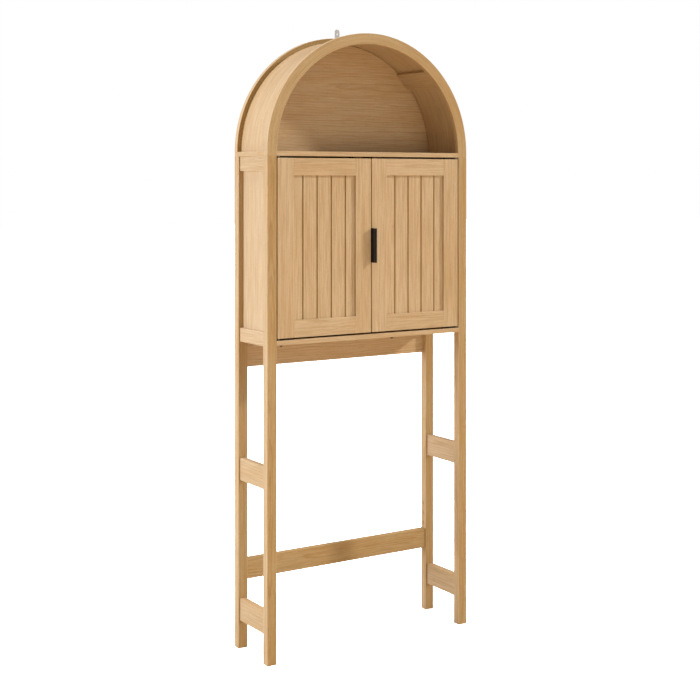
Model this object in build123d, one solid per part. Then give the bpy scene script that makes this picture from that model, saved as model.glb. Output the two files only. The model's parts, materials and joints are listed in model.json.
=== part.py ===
from build123d import *
import os

# Over-the-toilet storage rack: two post-and-rail side frames, a two-door
# cabinet and an open arched niche on top. Millimetres, +Z up, +X to the right,
# the back towards +Y. The origin is on the floor under the centre of the whole
# outline, the door pull included.

# ---------------------------------------------------------------- overall size
WIDTH = 650.0
DEPTH = 184.0                 # posts, front face to back face
PULL_REACH = 15.0             # how far the door pull stands off the doors
DECK_TOP = 1345.0             # floor of the niche, and the centre of the arch
HALF = WIDTH / 2
FRONT = (PULL_REACH - DEPTH) / 2
BACK = FRONT + DEPTH
MID = (FRONT + BACK) / 2
EASE = 0.8                    # eased edge of every board
SLIP = 0.1                    # room left in grooves and notches
FIT = 0.05                    # room left round dowels, pins and screws
SIDES = {"left": -1, "right": 1}

# ---------------------------------------------------------------- side frames
POST_W = 28.0
POST_D = 23.0
BOARD_T = 12.5                # deck, bottom board and shelf
DECK_UNDER = DECK_TOP - BOARD_T
POST_IN = HALF - POST_W       # inner face of a post
RAIL_T = 18.0
RAIL_INSET = 4.5              # rail behind the outer face of the posts
RAIL_OUT = HALF - RAIL_INSET
RAIL_IN = RAIL_OUT - RAIL_T
RAIL_X = (RAIL_OUT + RAIL_IN) / 2
RAIL_FRONT = FRONT + POST_D
RAIL_BACK = BACK - POST_D
RAILS = {
    "top_rail": (1293.0, DECK_UNDER),
    "cabinet_rail": (831.5, 869.0),
    "mid_rail": (456.0, 516.0),
    "low_rail": (76.0, 136.0),
}
SIDE_PANEL_T = 8.0
TONGUE = 5.0                  # edge of a panel held in a groove

# ---------------------------------------------------------------- cabinet
BOTTOM_UNDER = 835.0
BOTTOM_TOP = BOTTOM_UNDER + BOARD_T
CABINET_BACK = (BACK - 8.0, BACK - 3.0)
SHELF_Z = 1080.0
SHELF_X = POST_IN - 1.0
SHELF_Y = (FRONT + 21.0, BACK - 8.5)
PIN_R = 2.5
PIN_REACH = 12.5              # shelf pin out of the side panel
PIN_SINK = 6.0                # shelf pin inside the side panel
PIN_STEP = 47.0               # shelf pins before and behind the middle

# ---------------------------------------------------------------- doors
DOOR_T = 16.0
DOOR_SIDE_GAP = 3.0
DOOR_END_GAP = 5.0
DOOR_MEET = 1.5               # half of the gap between the two doors
DOOR_OUT = POST_IN - DOOR_SIDE_GAP
DOOR_Z = (BOTTOM_TOP + DOOR_END_GAP, DECK_UNDER - DOOR_END_GAP)
DOOR_BACK = FRONT + DOOR_T
STILE_W = 49.3
DOOR_RAIL_H = 46.5
PANEL_Y = (FRONT + 6.0, FRONT + 12.0)
GROOVE_DEEP = 8.0
TENON_L = 7.5
BEAD_COUNT = 4                # vertical grooves across a door panel
BEAD_PITCH = 44.4
BEAD_W = 4.2                  # width of a groove at the face
BEAD_FLOOR = 2.8              # width of its floor
BEAD_DEEP = 3.0

# ---------------------------------------------------------------- pivot hinges
AXIS_IN = 4.0                 # pivot from the door's outer edge and front face
AXIS_X = DOOR_OUT - AXIS_IN
AXIS_Y = FRONT + AXIS_IN
LEAF_L = 44.0
LEAF_W = 7.0
LEAF_T = 2.0
WASHER_T = 0.8
WASHER_R = 3.2
HINGE_PIN_R = 1.5
HINGE_PIN_L = 13.0
RUN_CLEAR = 0.06              # pin in its running hole
SOCKET_R = 2.0
SOCKET_DEEP = 9.0
LEAF_SCREW_AT = (15.0, 34.0)  # screws from the pivot
LEAF_SCREW = (2.6, 1.3, 11.0)

# ---------------------------------------------------------------- pull and catches
PULL_T = 1.5
PULL_H = 94.0
PULL_LIP = 8.0
PULL_FLANGE = 15.0
PULL_BEND = 1.2
PULL_Z = sum(DOOR_Z) / 2
PULL_SCREW = (2.8, 1.4, 12.0)
PULL_SCREW_X = 9.0
PULL_SCREW_STEP = 32.0
CATCH_X = (16.0, 44.0)
CATCH_D = 12.0
CATCH_H = 13.0
CATCH_GAP = 0.3
MAGNET_EDGE = 4.0             # magnet in from the ends of its housing
MAGNET_D = 8.0
MAGNET_Z = (DECK_UNDER - 10.5, DECK_UNDER - 5.5)
STRIKE_T = 1.0
STRIKE_H = 14.0

# ---------------------------------------------------------------- apron and stretcher
APRON_T = 9.0
APRON_Z0 = 759.0
APRON_FACE = BACK - APRON_T
APRON_Y = BACK - APRON_T / 2
STRETCHER_T = 18.0
STRETCHER_Z = (184.0, 240.0)
STRETCHER_BACK = BACK - 2.5
STRETCHER_Y = STRETCHER_BACK - STRETCHER_T / 2
ADJUST_PITCH = 29.0           # row of holes that sets the stretcher's height
ADJUST_LOW = 197.5
ADJUST_COUNT = 5
ADJUST_R = 3.0
ADJUST_DEEP = 12.0

# ---------------------------------------------------------------- arch
RING_W = 29.0
RING_T = 15.0
SKIN_OUT = HALF - 12.5
SKIN_IN = SKIN_OUT - 3.5
SKIN_TONGUE = 4.0
ARCH_BACK_T = 5.0
BATTEN_W = 60.0
BATTEN_T = 9.0
BATTEN_FACE = 298.0           # arch centre to the batten's inner face
BATTEN_ANGLE = 43.8
BRACKET_X = 3.0
BRACKET_W = 15.0
BRACKET_T = 1.5
BRACKET_Z = (DECK_TOP + HALF - 24.0, DECK_TOP + HALF + 27.0)
BRACKET_HOLE_Z = DECK_TOP + HALF + 13.5
BRACKET_HOLE_R = 2.5
BRACKET_SCREW = (3.0, 1.6, 13.0)
BRACKET_SCREW_Z = (6.0, 16.0)  # above the bracket's foot

# ---------------------------------------------------------------- dowels and cams
DOWEL_R = 4.0
DOWEL_L = 30.0
FOOT_SINK = 20.0              # dowel of a ring foot inside its post
DECK_RISE = 9.0               # dowel of a top rail inside the deck
THIN_R = 2.5
THIN_L = 28.0
PEG_R = ADJUST_R - FIT
PEG_L = 26.0
PEG_SINK = 11.0               # peg or cam bolt inside a post
CAM_SIZES = {                 # cam radius and depth, shank, head and sleeve radius
    "stretcher": (7.5, 12.0, 2.0, 3.4, PEG_R),
    "apron": (5.0, 7.0, 1.4, 2.4, 2.4),
}
CAM_REACH = 24.0              # cam centre from the joint
CAM_HEAD_L = 4.0
APRON_SINK = 9.0              # cam bolt inside the bottom board
APRON_CAM_X = 185.0
CROSS_W = 1.2
CROSS_DEEP = 1.0


# ================================================================ shape helpers
def span(x, y, z, ease=0.0):
    """A board between two values on each axis, its edges eased when asked."""
    sizes = [abs(pair[1] - pair[0]) for pair in (x, y, z)]
    middle = [(pair[0] + pair[1]) / 2 for pair in (x, y, z)]
    body = Pos(*middle) * Box(*sizes)
    return fillet(body.edges(), ease) if ease else body


def rod(radius, length, axis, start):
    """A round bar that starts at a point and runs along +x, +y or +z."""
    turn = {"x": Rot(0, 90, 0), "y": Rot(-90, 0, 0), "z": Rot(0, 0, 0)}[axis]
    bar = Cylinder(radius, length, align=(Align.CENTER, Align.CENTER, Align.MIN))
    return Pos(*start) * (turn * bar)


def slab(sketch, y0, y1):
    """An upright sketch round the arch's centre, given thickness from y0 to y1."""
    upright = Plane(origin=(0, y1, DECK_TOP), x_dir=(1, 0, 0), z_dir=(0, -1, 0))
    return extrude(upright * sketch, amount=y1 - y0)


def half_ring(r_out, r_in):
    """The upper half of a flat ring."""
    upper = Rectangle(2 * r_out, r_out, align=(Align.CENTER, Align.MIN))
    return (Circle(r_out) - Circle(r_in)) & upper


def touches(first, second):
    """Whether two bounding boxes meet."""
    a = first.bounding_box()
    b = second.bounding_box()
    return all(getattr(a.min, k) <= getattr(b.max, k) and getattr(b.min, k) <= getattr(a.max, k)
               for k in ("X", "Y", "Z"))


def cut(body, tools):
    """Take away every tool that reaches the body."""
    for tool in tools:
        if touches(body, tool):
            body = body - tool
    return body


def driver_cross(radius, axis, at):
    """Two bars that sink a driver's cross into a round head."""
    arm = radius * 0.6
    deep = 2 * CROSS_DEEP
    wide = min(CROSS_W, radius * 0.35) / 2
    long, short, sunk = (-arm, arm), (-wide, wide), (-deep / 2, deep / 2)
    bars = {
        "y": [(long, sunk, short), (short, sunk, long)],
        "z": [(long, short, sunk), (short, long, sunk)],
    }[axis]
    return [Pos(*at) * span(*bar) for bar in bars]


def screw(size, facing, at, cross=True):
    """A countersunk screw; its head is flush at a point and faces +y, +z or -z."""
    head_r, shank_r, length = size
    head_h = head_r - shank_r
    lift = (Align.CENTER, Align.CENTER, Align.MIN)
    body = Cylinder(shank_r, length - head_h, align=lift)
    body = body + Pos(0, 0, length - head_h) * Cone(shank_r, head_r, head_h, align=lift)
    if cross:
        body = cut(body, driver_cross(head_r, "z", (0, 0, length)))
    turn = {"+y": Rot(-90, 0, 0), "+z": Rot(0, 0, 0), "-z": Rot(180, 0, 0)}[facing]
    return Pos(*at) * (turn * (Pos(0, 0, -length) * body))


# ================================================================ fasteners
def rail_dowels():
    """Two dowels through each end of every side rail."""
    starts = []
    for side in SIDES.values():
        for z0, z1 in RAILS.values():
            inset = (z1 - z0) * 0.27
            starts += [("y", (side * RAIL_X, joint - DOWEL_L / 2, z))
                       for z in (z0 + inset, z1 - inset) for joint in (RAIL_FRONT, RAIL_BACK)]
    return starts


def upright_dowels():
    """Dowels from the posts into the ring feet, and from the top rails into the deck."""
    foot_x = HALF - RING_W / 2
    starts = [("z", (side * foot_x, y, DECK_UNDER - FOOT_SINK))
              for side in SIDES.values() for y in (FRONT + RING_T / 2, BACK - RING_T / 2)]
    starts += [("z", (side * RAIL_X, MID + step, DECK_UNDER + DECK_RISE - DOWEL_L))
               for side in SIDES.values() for step in (-40.0, 40.0)]
    return starts


def end_dowels():
    """Thin dowels in the ends of the apron and of the bottom board."""
    starts = [("x", (side * POST_IN - THIN_L / 2, APRON_Y, z))
              for side in SIDES.values() for z in (APRON_Z0 + 18.0, BOTTOM_UNDER - 18.0)]
    starts += [("x", (side * RAIL_IN - THIN_L / 2, MID + step, (BOTTOM_UNDER + BOTTOM_TOP) / 2))
               for side in SIDES.values() for step in (-45.0, 0.0, 45.0)]
    return starts


def stretcher_pegs():
    """A peg in the lowest adjusting hole at each end of the stretcher."""
    shift = PEG_SINK - PEG_L / 2
    starts = [side * (POST_IN + shift) - PEG_L / 2 for side in SIDES.values()]
    return [("x", (start, STRETCHER_Y, ADJUST_LOW)) for start in starts]


DOWEL_KINDS = {
    "dowels": (rail_dowels() + upright_dowels(), DOWEL_R, DOWEL_L),
    "thin_dowels": (end_dowels(), THIN_R, THIN_L),
    "stretcher_pegs": (stretcher_pegs(), PEG_R, PEG_L),
}


def dowels(kind, extra=0.0):
    """All dowels of one kind as separate solids; extra widens them into their holes."""
    starts, radius, length = DOWEL_KINDS[kind]
    return [rod(radius + extra, length, axis, start) for axis, start in starts]


def cam_places(kind):
    """Where each cam sits: its centre, the bolt's axis and the way the bolt leaves."""
    if kind == "stretcher":
        height = ADJUST_LOW + ADJUST_PITCH
        return [((side * (POST_IN - CAM_REACH), STRETCHER_Y, height), "x", side) for side in SIDES.values()]
    height = BOTTOM_UNDER - CAM_REACH
    return [((side * APRON_CAM_X, APRON_Y, height), "z", 1) for side in SIDES.values()]


def along(axis, way, centre, start, length, radius):
    """A bar on a cam bolt's line, measured outwards from the cam's centre."""
    index = "xyz".index(axis)
    origin = list(centre)
    origin[index] += way * start if way > 0 else way * (start + length)
    return rod(radius, length, axis, tuple(origin))


def cam_disc(kind, centre, extra=0.0):
    """The round body of a cam, sunk in the stretcher's back or the apron's front."""
    radius, deep = CAM_SIZES[kind][:2]
    start = STRETCHER_BACK - deep if kind == "stretcher" else APRON_FACE
    return rod(radius + extra, deep, "y", (centre[0], start, centre[2]))


def cam_holes(kind):
    """Pockets and bolt holes that the cam fittings need in the boards."""
    sleeve = CAM_SIZES[kind][4]
    head = CAM_SIZES[kind][3]
    tools = []
    for centre, axis, way in cam_places(kind):
        tools.append(cam_disc(kind, centre, FIT))
        tools.append(along(axis, way, centre, -CAM_HEAD_L, CAM_REACH + CAM_HEAD_L, head + 2 * FIT))
        if kind == "apron":
            tools.append(along(axis, way, centre, CAM_REACH, APRON_SINK, sleeve + FIT))
    return tools


def cam_locks(kind):
    """Cams with a mouth for the bolt's head and a driver's cross."""
    radius = CAM_SIZES[kind][0]
    head = CAM_SIZES[kind][3]
    face = STRETCHER_BACK if kind == "stretcher" else APRON_FACE
    locks = []
    for centre, axis, way in cam_places(kind):
        mouth = along(axis, way, centre, -CAM_HEAD_L, CAM_REACH, head + 2 * FIT)
        cross = driver_cross(radius, "y", (centre[0], face, centre[2]))
        locks.append(cut(cam_disc(kind, centre), [mouth] + cross))
    return locks


def cam_bolts(kind):
    """Bolts with a sleeve in the far board, a thin shank and a head held by the cam."""
    shank, head, sleeve = CAM_SIZES[kind][2:]
    sink = PEG_SINK if kind == "stretcher" else APRON_SINK
    bolts = []
    for centre, axis, way in cam_places(kind):
        body = along(axis, way, centre, -CAM_HEAD_L / 2, CAM_REACH + CAM_HEAD_L / 2, shank)
        body = body + along(axis, way, centre, -CAM_HEAD_L / 2, CAM_HEAD_L, head)
        body = body + along(axis, way, centre, CAM_REACH, sink, sleeve)
        bolts.append(body)
    return bolts


def leaf_screws(member, side, cross=True):
    """The screws of the frame leaves or of the door leaves on one side."""
    top, bottom = DECK_UNDER - LEAF_T, BOTTOM_TOP + LEAF_T
    facing = ("-z", "+z")
    if member == "door":
        top, bottom = DOOR_Z[1] + LEAF_T, DOOR_Z[0] - LEAF_T
        facing = ("+z", "-z")
    return [screw(LEAF_SCREW, way, (side * (AXIS_X - step), AXIS_Y, z), cross)
            for way, z in zip(facing, (top, bottom)) for step in LEAF_SCREW_AT]


def pull_screws(cross=True):
    """Two screws from behind the right door through the pull's flange."""
    return [screw(PULL_SCREW, "+y", (PULL_SCREW_X, DOOR_BACK + PULL_T, PULL_Z + step), cross)
            for step in (-PULL_SCREW_STEP, PULL_SCREW_STEP)]


def bracket_screws(cross=True):
    """Two screws through the wall bracket into the rear ring."""
    return [screw(BRACKET_SCREW, "+y", (BRACKET_X, BACK, BRACKET_Z[0] + step), cross)
            for step in BRACKET_SCREW_Z]


DOWEL_HOLES = [hole for kind in DOWEL_KINDS for hole in dowels(kind, FIT)]


# ================================================================ side frames
def side_panel(side, slip=0.0):
    """The thin panel between the posts, held by its edges."""
    x = (side * (RAIL_IN - slip), side * (RAIL_IN + SIDE_PANEL_T + slip))
    y = (RAIL_FRONT - TONGUE - slip, RAIL_BACK + TONGUE + slip)
    z = (RAILS["cabinet_rail"][1] - TONGUE - slip, RAILS["top_rail"][0] + TONGUE + slip)
    return span(x, y, z)


def cabinet_back(slip=0.0):
    """The thin back of the cabinet, its ends in grooves of the rear posts."""
    y = (CABINET_BACK[0] - slip, CABINET_BACK[1] + slip)
    return span((-POST_IN - TONGUE - slip, POST_IN + TONGUE + slip), y, (BOTTOM_TOP, DECK_UNDER))


def post(side, rear):
    """A corner post from the floor to the deck, with its joints and adjusting holes."""
    y = (RAIL_BACK, BACK) if rear else (FRONT, RAIL_FRONT)
    body = span((side * POST_IN, side * HALF), y, (0.0, DECK_UNDER), EASE)
    tools = DOWEL_HOLES + [side_panel(side, SLIP), cabinet_back(SLIP)]
    if rear:
        start = POST_IN if side > 0 else -POST_IN - ADJUST_DEEP
        tools = tools + [
            rod(ADJUST_R, ADJUST_DEEP, "x", (start, STRETCHER_Y, ADJUST_LOW + ADJUST_PITCH * step))
            for step in range(ADJUST_COUNT)]
    return cut(body, tools)


def side_rail(side, z):
    """A rail between the two posts of a side frame."""
    body = span((side * RAIL_IN, side * RAIL_OUT), (RAIL_FRONT, RAIL_BACK), z, EASE)
    return cut(body, DOWEL_HOLES + [side_panel(side, SLIP)])


def shelf_pins(extra=0.0):
    """Four round pins in the side panels that carry the shelf."""
    pins = []
    for side in SIDES.values():
        start = RAIL_IN - PIN_REACH if side > 0 else -RAIL_IN - PIN_SINK
        pins += [rod(PIN_R + extra, PIN_REACH + PIN_SINK, "x", (start, MID + step, SHELF_Z - PIN_R))
                 for step in (-PIN_STEP, PIN_STEP)]
    return pins


def side_frames():
    """Posts, rails and panels of both side frames."""
    nodes = {}
    for name, side in SIDES.items():
        nodes[f"front_{name}_post"] = post(side, False)
        nodes[f"rear_{name}_post"] = post(side, True)
        for rail, z in RAILS.items():
            nodes[f"{name}_{rail}"] = side_rail(side, z)
        nodes[f"{name}_side_panel"] = cut(side_panel(side), shelf_pins(FIT))
    return nodes


# ================================================================ cabinet
def deck():
    """The niche floor: flush ends, notched round the feet of the rings."""
    body = span((-HALF, HALF), (FRONT, BACK), (DECK_UNDER, DECK_TOP), EASE)
    room = RING_T + SLIP
    notches = [span((side * (HALF - RING_W - SLIP), side * (HALF + 1)), y, (DECK_UNDER - 1, DECK_TOP + 1))
               for side in SIDES.values() for y in ((FRONT - 1, FRONT + room), (BACK - room, BACK + 1))]
    tools = [tool for side in SIDES.values() for tool in leaf_screws("frame", side, False)]
    return cut(body, notches + DOWEL_HOLES + tools)


def bottom_board():
    """The cabinet floor, reaching the rails and notched round the posts."""
    body = span((-RAIL_IN, RAIL_IN), (FRONT, BACK), (BOTTOM_UNDER, BOTTOM_TOP), EASE)
    notches = [span((side * POST_IN, side * (RAIL_IN + 1)), y, (BOTTOM_UNDER - 1, BOTTOM_TOP + 1))
               for side in SIDES.values() for y in ((FRONT - 1, RAIL_FRONT), (RAIL_BACK, BACK + 1))]
    tools = [tool for side in SIDES.values() for tool in leaf_screws("frame", side, False)]
    return cut(body, notches + DOWEL_HOLES + tools + cam_holes("apron"))


def cabinet():
    """Deck, floor, back and the shelf on its pins."""
    return {
        "deck": deck(),
        "bottom_board": bottom_board(),
        "cabinet_back": cabinet_back(),
        "inner_shelf": span((-SHELF_X, SHELF_X), SHELF_Y, (SHELF_Z, SHELF_Z + BOARD_T), EASE),
        "shelf_pins": shelf_pins(),
    }


def back_rails():
    """The apron under the cabinet and the stretcher low between the rear posts."""
    apron = span((-POST_IN, POST_IN), (APRON_FACE, BACK), (APRON_Z0, BOTTOM_UNDER), EASE)
    stretcher = span((-POST_IN, POST_IN), (STRETCHER_BACK - STRETCHER_T, STRETCHER_BACK), STRETCHER_Z, EASE)
    return {
        "rear_apron": cut(apron, DOWEL_HOLES + cam_holes("apron")),
        "low_stretcher": cut(stretcher, DOWEL_HOLES + cam_holes("stretcher")),
    }


# ================================================================ doors
def bead_tool(x):
    """A vertical groove with sloping sides, cut in the face of a door panel."""
    face, floor = PANEL_Y[0], PANEL_Y[0] + BEAD_DEEP
    corners = [(x - BEAD_W / 2, face - 1), (x + BEAD_W / 2, face - 1), (x + BEAD_W / 2, face),
               (x + BEAD_FLOOR / 2, floor), (x - BEAD_FLOOR / 2, floor), (x - BEAD_W / 2, face)]
    outline = make_face(Polyline(*corners, close=True))
    return Pos(0, 0, DOOR_Z[0]) * extrude(outline, amount=DOOR_Z[1] - DOOR_Z[0])


def panel_groove(x, z):
    """Room for the panel's edge and the tenons, between two values on x and z."""
    return span(x, PANEL_Y, z)


def door_frame_cuts(side):
    """Holes that the hinge, its screws and the pull's screws need in a door."""
    tools = leaf_screws("door", side, False)
    tools.append(rod(SOCKET_R, SOCKET_DEEP, "z", (side * AXIS_X, AXIS_Y, DOOR_Z[1] - SOCKET_DEEP)))
    tools.append(rod(SOCKET_R, SOCKET_DEEP, "z", (side * AXIS_X, AXIS_Y, DOOR_Z[0])))
    return tools + (pull_screws(False) if side > 0 else [])


def door(name, side):
    """A framed door: two full-height stiles, two rails and a beaded panel."""
    y = (FRONT, DOOR_BACK)
    open_in, open_out = DOOR_MEET + STILE_W, DOOR_OUT - STILE_W
    open_z = (DOOR_Z[0] + DOOR_RAIL_H, DOOR_Z[1] - DOOR_RAIL_H)
    tall = (DOOR_Z[0] - 1, DOOR_Z[1] + 1)
    holes = door_frame_cuts(side)

    outer = span((side * open_out, side * DOOR_OUT), y, DOOR_Z, EASE)
    outer = cut(outer, [panel_groove((side * open_out, side * (open_out + GROOVE_DEEP)), tall)] + holes)
    inner = span((side * DOOR_MEET, side * open_in), y, DOOR_Z, EASE)
    inner = cut(inner, [panel_groove((side * open_in, side * (open_in - GROOVE_DEEP)), tall)] + holes)
    nodes = {f"{name}_door_hinge_stile": outer, f"{name}_door_free_stile": inner}

    for part, z, edge in (("top_rail", (open_z[1], DOOR_Z[1]), (open_z[1], open_z[1] + GROOVE_DEEP)),
                          ("bottom_rail", (DOOR_Z[0], open_z[0]), (open_z[0] - GROOVE_DEEP, open_z[0]))):
        rail = span((side * open_in, side * open_out), y, z, EASE)
        tenons = span((side * (open_in - TENON_L), side * (open_out + TENON_L)), PANEL_Y, z)
        across = (side * (open_in - GROOVE_DEEP), side * (open_out + GROOVE_DEEP))
        nodes[f"{name}_door_{part}"] = cut(rail + tenons, [panel_groove(across, edge)])

    panel = span((side * (open_in - TENON_L), side * (open_out + TENON_L)), PANEL_Y,
                 (open_z[0] - TENON_L, open_z[1] + TENON_L))
    centre = side * (open_in + open_out) / 2
    beads = [bead_tool(centre + BEAD_PITCH * (step - (BEAD_COUNT - 1) / 2)) for step in range(BEAD_COUNT)]
    nodes[f"{name}_door_panel"] = cut(panel, beads)
    return nodes


def door_pull():
    """A bent strip: flange behind the door, web in the gap, lip in front."""
    front = FRONT - PULL_REACH
    flange = Pos(PULL_FLANGE / 2, DOOR_BACK + PULL_T / 2) * Rectangle(PULL_FLANGE, PULL_T)
    web_l = DOOR_BACK + PULL_T - front
    web = Pos(PULL_T / 2, front + web_l / 2) * Rectangle(PULL_T, web_l)
    lip = Pos(PULL_LIP / 2, front + PULL_T / 2) * Rectangle(PULL_LIP, PULL_T)
    profile = flange + web + lip
    strip = Pos(0, 0, PULL_Z - PULL_H / 2) * extrude(profile, amount=PULL_H)
    bends = strip.edges().filter_by(Axis.Z).filter_by(lambda edge: abs(edge.center().X) < 0.01)
    return cut(fillet(bends, PULL_BEND), pull_screws(False))


def doors():
    """Both doors, and the pull on the right one."""
    nodes = {}
    for name, side in SIDES.items():
        nodes.update(door(name, side))
    nodes["door_pull"] = door_pull()
    nodes["pull_screws"] = pull_screws()
    return nodes


# ================================================================ hinges and catches
def leaf(side, z0):
    """A thin hinge leaf with a round end at the pivot."""
    eye = Pos(side * AXIS_X, AXIS_Y) * Circle(LEAF_W / 2)
    arm = Pos(side * (AXIS_X - LEAF_L / 2), AXIS_Y) * Rectangle(LEAF_L, LEAF_W)
    return Pos(0, 0, z0) * extrude(eye + arm, amount=LEAF_T)


def hinge_pins(extra=0.0):
    """Pins fixed in the frame leaves and reaching into the doors."""
    return [rod(HINGE_PIN_R + extra, HINGE_PIN_L, "z", (side * AXIS_X, AXIS_Y, z))
            for side in SIDES.values() for z in (DECK_UNDER - HINGE_PIN_L, BOTTOM_TOP)]


def hinges():
    """Leaves, pins, washers and screws of the four pivot hinges."""
    frame_leaves = []
    frame_screws = []
    nodes = {}
    for name, side in SIDES.items():
        tools = leaf_screws("frame", side, False) + hinge_pins(FIT)
        frame_leaves += [cut(leaf(side, z), tools) for z in (DECK_UNDER - LEAF_T, BOTTOM_TOP)]
        frame_screws += leaf_screws("frame", side)
        tools = leaf_screws("door", side, False) + hinge_pins(RUN_CLEAR)
        leaves = [leaf(side, z) for z in (DOOR_Z[1], DOOR_Z[0] - LEAF_T)]
        nodes[f"{name}_hinge_door_leaves"] = [cut(shape, tools) for shape in leaves]
        nodes[f"{name}_hinge_door_screws"] = leaf_screws("door", side)
    nodes["hinge_frame_leaves"] = frame_leaves
    nodes["hinge_frame_screws"] = frame_screws
    nodes["hinge_pins"] = hinge_pins()
    washer_z = (DECK_UNDER - LEAF_T - WASHER_T, BOTTOM_TOP + LEAF_T)
    nodes["hinge_washers"] = [cut(rod(WASHER_R, WASHER_T, "z", (side * AXIS_X, AXIS_Y, z)), hinge_pins(FIT))
                              for side in SIDES.values() for z in washer_z]
    return nodes


def catches():
    """Magnetic catches under the deck and the steel strikes on the doors."""
    face = DOOR_BACK + STRIKE_T + CATCH_GAP
    housings = []
    magnets = []
    nodes = {}
    for name, side in SIDES.items():
        x = (side * CATCH_X[0], side * CATCH_X[1])
        inside = (x[0] + side * MAGNET_EDGE, x[1] - side * MAGNET_EDGE)
        magnet = span(inside, (face, face + MAGNET_D), MAGNET_Z)
        housing = span(x, (face, face + CATCH_D), (DECK_UNDER - CATCH_H, DECK_UNDER), EASE)
        housings.append(housing - magnet)
        magnets.append(magnet)
        z1 = DOOR_Z[1] - 1.0
        nodes[f"{name}_strike_plate"] = span(x, (DOOR_BACK, DOOR_BACK + STRIKE_T), (z1 - STRIKE_H, z1))
    nodes["catch_housings"] = housings
    nodes["catch_magnets"] = magnets
    return nodes


# ================================================================ arch
def ring(front):
    """A flat arched ring on two short feet, grooved for the skin."""
    y = (FRONT, FRONT + RING_T) if front else (BACK - RING_T, BACK)
    foot_x = HALF - RING_W / 2
    feet = [Pos(side * foot_x, -BOARD_T / 2) * Rectangle(RING_W, BOARD_T) for side in SIDES.values()]
    body = slab(half_ring(HALF, HALF - RING_W) + feet, *y)
    body = fillet(body.edges().filter_by(Axis.Y, reverse=True), EASE)
    groove = (y[1] - SKIN_TONGUE, y[1] + 1) if front else (y[0] - 1, y[0] + SKIN_TONGUE)
    tools = [slab(half_ring(SKIN_OUT + SLIP, SKIN_IN - SLIP), *groove)] + DOWEL_HOLES
    if not front:
        plate = ((BRACKET_X - BRACKET_W / 2 - SLIP, BRACKET_X + BRACKET_W / 2 + SLIP),
                 (BACK - BRACKET_T, BACK + 1), (BRACKET_Z[0] - SLIP, BRACKET_Z[1]))
        tools = tools + [span(*plate)] + bracket_screws(False)
    return cut(body, tools)


def batten(side):
    """A flat strip between the rings, under the skin at the arch's shoulder."""
    radius = BATTEN_FACE + BATTEN_T / 2
    y = (FRONT + RING_T, BACK - RING_T - ARCH_BACK_T)
    strip = fillet(Box(BATTEN_T, y[1] - y[0], BATTEN_W).edges(), EASE)
    strip = Pos(radius, 0, 0) * strip
    turned = Rot(0, -BATTEN_ANGLE if side > 0 else BATTEN_ANGLE - 180, 0) * strip
    return Pos(0, (y[0] + y[1]) / 2, DECK_TOP) * turned


def bracket():
    """The flat steel plate that ties the rack to the wall."""
    half = BRACKET_W / 2
    plate = span((BRACKET_X - half, BRACKET_X + half), (BACK - BRACKET_T, BACK), BRACKET_Z)
    corners = plate.edges().filter_by(Axis.Y).group_by(Axis.Z)[-1]
    plate = fillet(corners, BRACKET_W / 2 - 0.5)
    hole = rod(BRACKET_HOLE_R, BRACKET_T + 2, "y", (BRACKET_X, BACK - BRACKET_T - 1, BRACKET_HOLE_Z))
    return cut(plate, [hole] + bracket_screws(False))


def arch():
    """Rings, skin, back, battens and wall bracket of the niche."""
    skin_y = (FRONT + RING_T - SKIN_TONGUE, BACK - RING_T + SKIN_TONGUE)
    back_y = (BACK - RING_T - ARCH_BACK_T, BACK - RING_T)
    half_disc = Circle(SKIN_IN - SLIP) & Rectangle(WIDTH, HALF, align=(Align.CENTER, Align.MIN))
    return {
        "front_arch_ring": ring(True),
        "rear_arch_ring": ring(False),
        "arch_skin": slab(half_ring(SKIN_OUT, SKIN_IN), *skin_y),
        "arch_back": slab(half_disc, *back_y),
        "left_arch_batten": batten(-1),
        "right_arch_batten": batten(1),
        "wall_bracket": bracket(),
        "bracket_screws": bracket_screws(),
    }


# ================================================================ whole rack
def rack():
    """Every sub-part by node name; a list is a group of separate solids."""
    nodes = {**side_frames(), **cabinet(), **back_rails(), **doors(), **hinges(), **catches(), **arch()}
    nodes.update({kind: dowels(kind) for kind in DOWEL_KINDS})
    for kind in CAM_SIZES:
        nodes[f"{kind}_cam_locks"] = cam_locks(kind)
        nodes[f"{kind}_cam_bolts"] = cam_bolts(kind)
    return nodes


os.makedirs("parts", exist_ok=True)
for node, shape in rack().items():
    solids = shape if isinstance(shape, list) else [shape]
    solids = [solid for item in solids for solid in item.solids()]
    export_step(solids[0] if len(solids) == 1 else Compound(children=solids), f"parts/{node}.step")
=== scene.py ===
"""An over-the-toilet storage rack in satin oak: leg frames, cabinet, doors, arched niche and fittings."""

import json
import logging
import math
import random
from dataclasses import dataclass, field
from enum import Enum
from typing import Any, Iterable, Protocol, Sequence

import bmesh
import bpy
from mathutils import Matrix, Vector

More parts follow.
